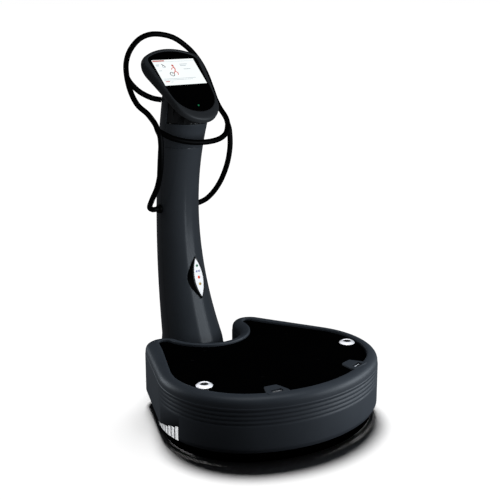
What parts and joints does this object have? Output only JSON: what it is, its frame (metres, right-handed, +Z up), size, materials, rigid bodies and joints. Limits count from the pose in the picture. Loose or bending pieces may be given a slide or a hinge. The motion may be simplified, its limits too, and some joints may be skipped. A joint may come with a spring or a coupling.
{
  "type": "vibration plate",
  "caption": "Standing vibration trainer with a sprung bow-fronted platform, curved column, tilted screen console and looped handlebar.",
  "frame": {"origin": "on the floor, under the middle of the machine's box", "axes": "+X to the user's right when facing the console, +Y from the user towards the column, +Z up"},
  "size_m": [0.972, 1.196, 1.5725],
  "materials": {
    "black_steel": "satin",
    "zinc_steel": "satin",
    "foot_rubber": "matt",
    "black_plastic": "fine texture",
    "shroud_plastic": "satin",
    "grille_plastic": "satin",
    "drive_aluminium": "brushed",
    "column_gloss": "semi gloss",
    "neck_gloss": "gloss",
    "fascia_white": "satin",
    "circuit_board": "satin",
    "key_green": "satin",
    "key_blue": "satin",
    "key_red": "satin",
    "key_yellow": "satin",
    "console_plastic": "satin",
    "console_gloss": "gloss",
    "screen": "lit",
    "handle_paint": "matt",
    "mat_rubber": "ribbed",
    "outlet_silver": "gloss",
    "motor_paint": "satin"
  },
  "bodies": {
    "base": {"base_frame": "black_steel", "foot_studs": "zinc_steel", "foot_nuts": "zinc_steel", "foot_pads": "foot_rubber", "plinth_skirt": "black_plastic", "base_shroud": "shroud_plastic", "vent_grille_left": "grille_plastic", "vent_grille_right": "grille_plastic", "isolator_posts": "black_steel", "isolator_rubbers": "foot_rubber", "drive_box": "drive_aluminium", "mast": "black_steel", "mast_bolts": "zinc_steel", "column_front_cover": "column_gloss", "column_top_cover": "column_gloss", "column_rear_cover": "column_gloss", "neck_ring": "neck_gloss", "pod_housing": "neck_gloss", "pod_fascia": "fascia_white", "pod_board": "circuit_board", "console_bracket": "black_steel", "console_shell": "console_plastic", "console_bezel": "console_plastic", "console_glass": "console_gloss", "lcd_panel": "screen", "console_board": "circuit_board", "handle_hoop": "handle_paint", "handle_crossbar": "handle_paint", "handle_rear_bars": "handle_paint", "handle_collars": "handle_paint", "mains_inlet": "black_plastic", "strap_pocket_left": "shroud_plastic", "strap_pocket_right": "shroud_plastic"},
    "platform": {"platform_frame": "black_steel", "platform_plate": "drive_aluminium", "platform_mat": "mat_rubber", "deck_screws": "zinc_steel", "outlet_bezel_left": "outlet_silver", "outlet_bezel_right": "outlet_silver", "motor_front": "motor_paint", "motor_rear": "motor_paint", "motor_caps_front": "motor_paint", "motor_caps_rear": "motor_paint", "strap_staple_left": "zinc_steel", "strap_staple_right": "zinc_steel"},
    "button_start": {"button_start": "key_green"},
    "button_up": {"button_up": "key_blue"},
    "button_down": {"button_down": "key_blue"},
    "button_stop": {"button_stop": "key_red"},
    "button_repeat": {"button_repeat": "key_yellow"},
    "power_button": {"power_button": "key_green"},
    "mains_switch": {"mains_switch": "key_red"},
    "outlet_turret_left": {"outlet_turret_left": "black_plastic"},
    "outlet_turret_right": {"outlet_turret_right": "black_plastic"},
    "rotor_front": {"rotor_front": "zinc_steel"},
    "rotor_rear": {"rotor_rear": "zinc_steel"}
  },
  "joints": [
    {"name": "platform_bounce", "type": "slide", "parent": "base", "child": "platform", "axis": [0, 0, 1], "range_m": [-0.002, 0.002], "stiffness_N_per_m": 2000000, "springref_m": 0.0005, "deforming": ["isolator_rubbers"]},
    {"name": "rotor_front_spin", "type": "hinge", "parent": "platform", "child": "rotor_front", "pos_m": [0, -0.29, 0.1368], "axis": [1, 0, 0], "continuous": true},
    {"name": "rotor_rear_spin", "type": "hinge", "parent": "platform", "child": "rotor_rear", "pos_m": [0, -0.12, 0.1368], "axis": [1, 0, 0], "continuous": true},
    {"name": "outlet_turret_left_spin", "type": "hinge", "parent": "platform", "child": "outlet_turret_left", "pos_m": [-0.3845, -0.27, 0.272], "axis": [0, 0, 1], "continuous": true},
    {"name": "outlet_turret_right_spin", "type": "hinge", "parent": "platform", "child": "outlet_turret_right", "pos_m": [0.3845, -0.27, 0.272], "axis": [0, 0, 1], "continuous": true},
    {"name": "mains_switch_rock", "type": "hinge", "parent": "base", "child": "mains_switch", "pos_m": [-0.018, 0.509, 0.12], "axis": [1, 0, 0], "range_deg": [-12, 12]},
    {"name": "button_start_press", "type": "slide", "parent": "base", "child": "button_start", "axis": [0, 0.9613, -0.2756], "range_m": [0, 0.001], "stiffness_N_per_m": 900, "springref_m": -0.0004},
    {"name": "button_up_press", "type": "slide", "parent": "base", "child": "button_up", "axis": [0, 0.9613, -0.2756], "range_m": [0, 0.001], "stiffness_N_per_m": 900, "springref_m": -0.0004},
    {"name": "button_down_press", "type": "slide", "parent": "base", "child": "button_down", "axis": [0, 0.9613, -0.2756], "range_m": [0, 0.001], "stiffness_N_per_m": 900, "springref_m": -0.0004},
    {"name": "button_stop_press", "type": "slide", "parent": "base", "child": "button_stop", "axis": [0, 0.9613, -0.2756], "range_m": [0, 0.001], "stiffness_N_per_m": 900, "springref_m": -0.0004},
    {"name": "button_repeat_press", "type": "slide", "parent": "base", "child": "button_repeat", "axis": [0, 0.9613, -0.2756], "range_m": [0, 0.001], "stiffness_N_per_m": 900, "springref_m": -0.0004},
    {"name": "power_button_press", "type": "slide", "parent": "base", "child": "power_button", "axis": [0, 0.6984, -0.7157], "range_m": [0, 0.0006], "stiffness_N_per_m": 900, "springref_m": -0.0004}
  ],
  "couplings": [
    {"joint": "rotor_rear_spin", "follows": "rotor_front_spin", "ratio": -1}
  ]
}
